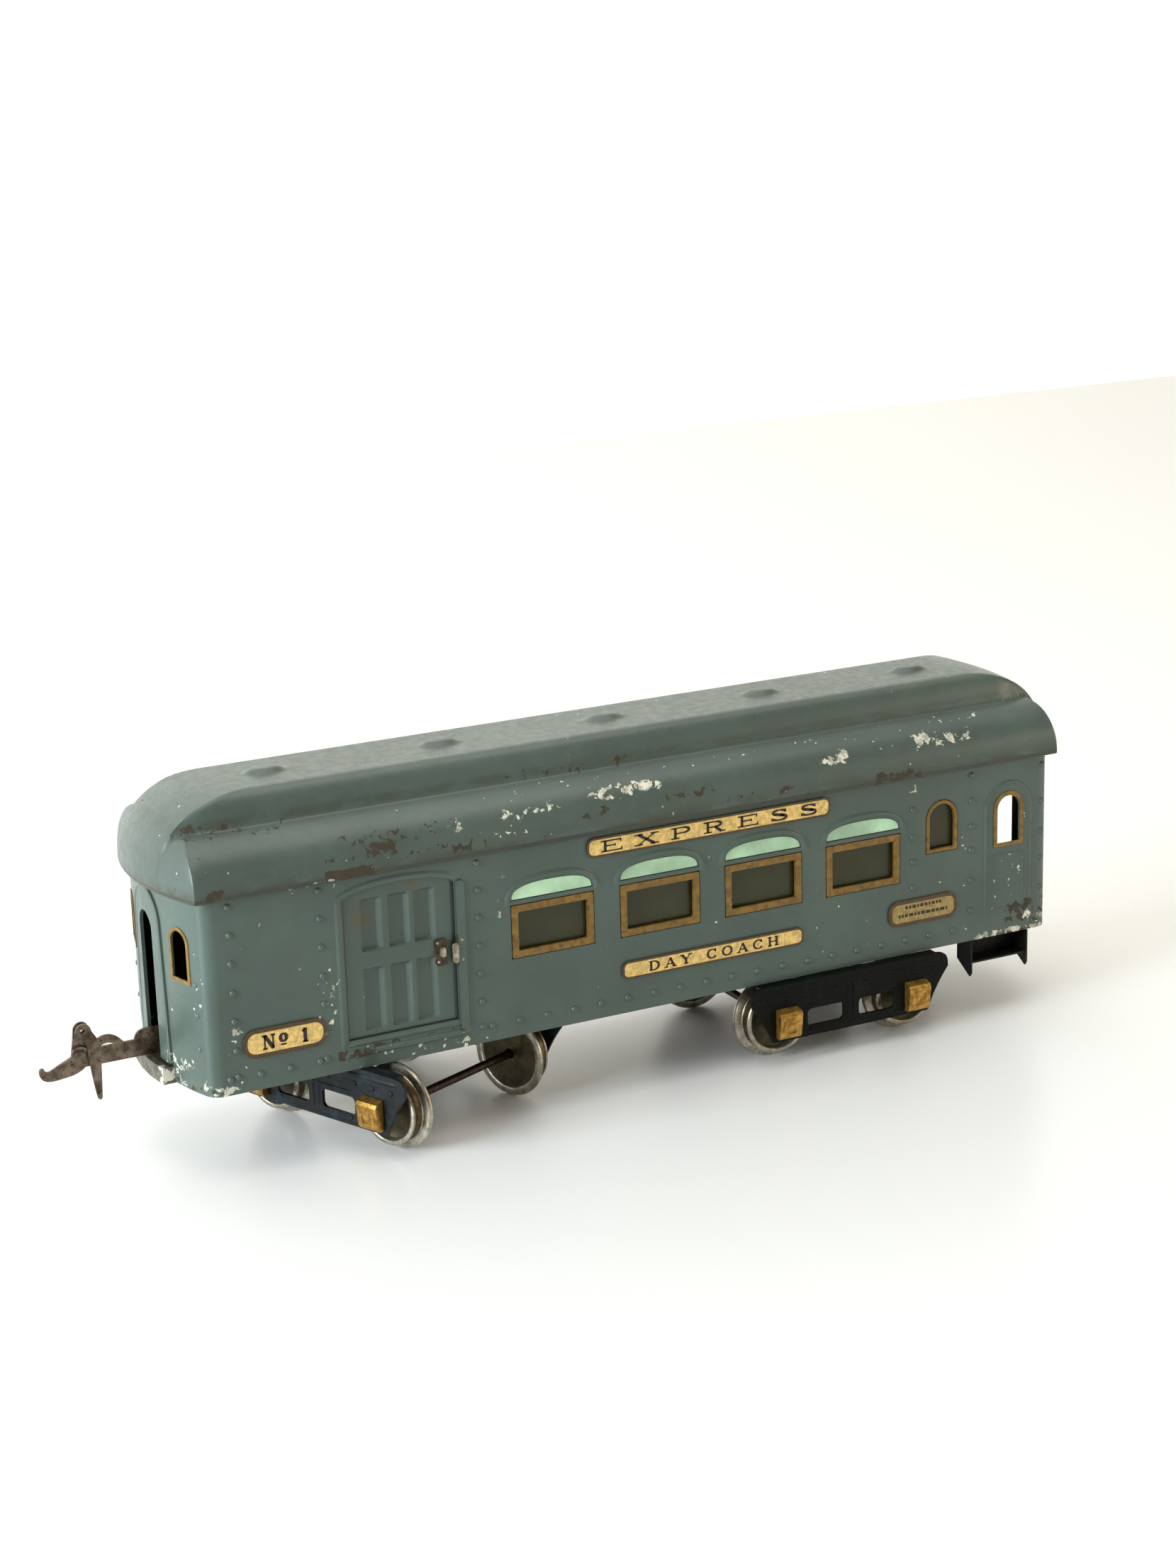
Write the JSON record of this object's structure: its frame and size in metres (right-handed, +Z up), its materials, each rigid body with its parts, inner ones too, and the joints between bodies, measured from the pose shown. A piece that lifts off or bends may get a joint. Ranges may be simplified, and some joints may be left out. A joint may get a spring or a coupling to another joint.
{
  "type": "model passenger coach",
  "caption": "Pressed-tin toy railway coach with sliding baggage doors, swivelling trucks, spinning wheels and a hook coupler.",
  "frame": {"origin": "middle of the overall length and width, on the surface that the wheels stand on", "axes": "+X towards the rear end without a coupler, -Y is the near side, +Z up"},
  "size_m": [0.3713, 0.1046, 0.1233],
  "materials": {
    "body_enamel": "satin teal-grey enamel, chipped and rust-specked",
    "roof_enamel": "satin teal-grey enamel, worn through along the edges",
    "door_enamel": "satin teal-grey enamel with brown wear on the raised ribs",
    "window_gold": "satin orange-gold paint, mint fanlights",
    "celluloid": "smoky translucent sheet",
    "plate_brass": "aged brass with dark border",
    "latch_steel": "worn plated steel with rust",
    "underframe_black": "black enamel, rubbed",
    "truck_black": "black enamel with blue-grey bloom",
    "journal_brass": "satin brass",
    "wheel_nickel": "dull nickel with brown tread",
    "axle_steel": "browned steel",
    "coupler_steel": "browned steel",
    "rivet_steel": "dull steel"
  },
  "bodies": {
    "coach_body": {"side_panel_near": "body_enamel", "side_panel_far": "body_enamel", "end_panel_rear": "body_enamel", "end_panel_front": "body_enamel", "window_insert_near": "window_gold", "window_insert_far": "window_gold", "glazing_strip_near": "celluloid", "glazing_strip_far": "celluloid", "door_keeper_near": "latch_steel", "door_keeper_far": "latch_steel", "roof_shell": "roof_enamel", "floor_pan": "underframe_black", "side_step_near": "underframe_black", "side_step_far": "underframe_black", "front_king_pin": "rivet_steel", "rear_king_pin": "rivet_steel", "drawbar_rivet": "rivet_steel", "number_plate_near": "plate_brass", "number_plate_far": "plate_brass", "title_plate_near": "plate_brass", "title_plate_far": "plate_brass", "class_plate_near": "plate_brass", "class_plate_far": "plate_brass", "maker_plate_near": "plate_brass", "maker_plate_far": "plate_brass"},
    "baggage_door_leaf_near": {"baggage_door_near": "door_enamel", "door_handle_near": "latch_steel"},
    "baggage_door_leaf_far": {"baggage_door_far": "door_enamel", "door_handle_far": "latch_steel"},
    "front_truck": {"front_truck_bolster": "truck_black", "front_truck_frame_near": "truck_black", "front_truck_frame_far": "truck_black", "front_journal_box_leading_near": "journal_brass", "front_journal_box_leading_far": "journal_brass", "front_journal_box_trailing_near": "journal_brass", "front_journal_box_trailing_far": "journal_brass"},
    "front_wheelset_leading": {"front_axle_leading": "axle_steel", "front_wheel_leading_near": "wheel_nickel", "front_wheel_leading_far": "wheel_nickel"},
    "front_wheelset_trailing": {"front_axle_trailing": "axle_steel", "front_wheel_trailing_near": "wheel_nickel", "front_wheel_trailing_far": "wheel_nickel"},
    "rear_truck": {"rear_truck_bolster": "truck_black", "rear_truck_frame_near": "truck_black", "rear_truck_frame_far": "truck_black", "rear_journal_box_leading_near": "journal_brass", "rear_journal_box_leading_far": "journal_brass", "rear_journal_box_trailing_near": "journal_brass", "rear_journal_box_trailing_far": "journal_brass"},
    "rear_wheelset_leading": {"rear_axle_leading": "axle_steel", "rear_wheel_leading_near": "wheel_nickel", "rear_wheel_leading_far": "wheel_nickel"},
    "rear_wheelset_trailing": {"rear_axle_trailing": "axle_steel", "rear_wheel_trailing_near": "wheel_nickel", "rear_wheel_trailing_far": "wheel_nickel"},
    "drawbar_arm": {"drawbar": "coupler_steel", "latch_rivet": "rivet_steel"},
    "latch": {"latch_lever": "coupler_steel"}
  },
  "joints": [
    {"name": "baggage_door_slide_near", "type": "slide", "parent": "coach_body", "child": "baggage_door_leaf_near", "axis": [-1, 0, 0], "range_m": [0, 0.03]},
    {"name": "baggage_door_slide_far", "type": "slide", "parent": "coach_body", "child": "baggage_door_leaf_far", "axis": [-1, 0, 0], "range_m": [0, 0.03]},
    {"name": "front_truck_swivel", "type": "hinge", "parent": "coach_body", "child": "front_truck", "pos_m": [-0.06405, 0, 0.0295], "axis": [0, 0, 1], "continuous": true},
    {"name": "front_axle_spin_leading", "type": "hinge", "parent": "front_truck", "child": "front_wheelset_leading", "pos_m": [-0.07445, 0.02405, 0.0146], "axis": [0.9178, 0.3971, 0], "continuous": true},
    {"name": "front_axle_spin_trailing", "type": "hinge", "parent": "front_truck", "child": "front_wheelset_trailing", "pos_m": [-0.05364, -0.02405, 0.0146], "axis": [0.9178, 0.3971, 0], "continuous": true},
    {"name": "rear_truck_swivel", "type": "hinge", "parent": "coach_body", "child": "rear_truck", "pos_m": [0.09075, 0, 0.0295], "axis": [0, 0, 1], "continuous": true},
    {"name": "rear_axle_spin_leading", "type": "hinge", "parent": "rear_truck", "child": "rear_wheelset_leading", "pos_m": [0.06455, 0, 0.0146], "axis": [0, 1, 0], "continuous": true},
    {"name": "rear_axle_spin_trailing", "type": "hinge", "parent": "rear_truck", "child": "rear_wheelset_trailing", "pos_m": [0.11695, 0, 0.0146], "axis": [0, 1, 0], "continuous": true},
    {"name": "drawbar_swing", "type": "hinge", "parent": "coach_body", "child": "drawbar_arm", "pos_m": [-0.13055, 0, 0.0353], "axis": [0, 0, 1], "range_deg": [-14, 14]},
    {"name": "latch_lift", "type": "hinge", "parent": "drawbar_arm", "child": "latch", "pos_m": [-0.17195, 0, 0.0389], "axis": [0, -1, 0], "range_deg": [0, 35]}
  ]
}
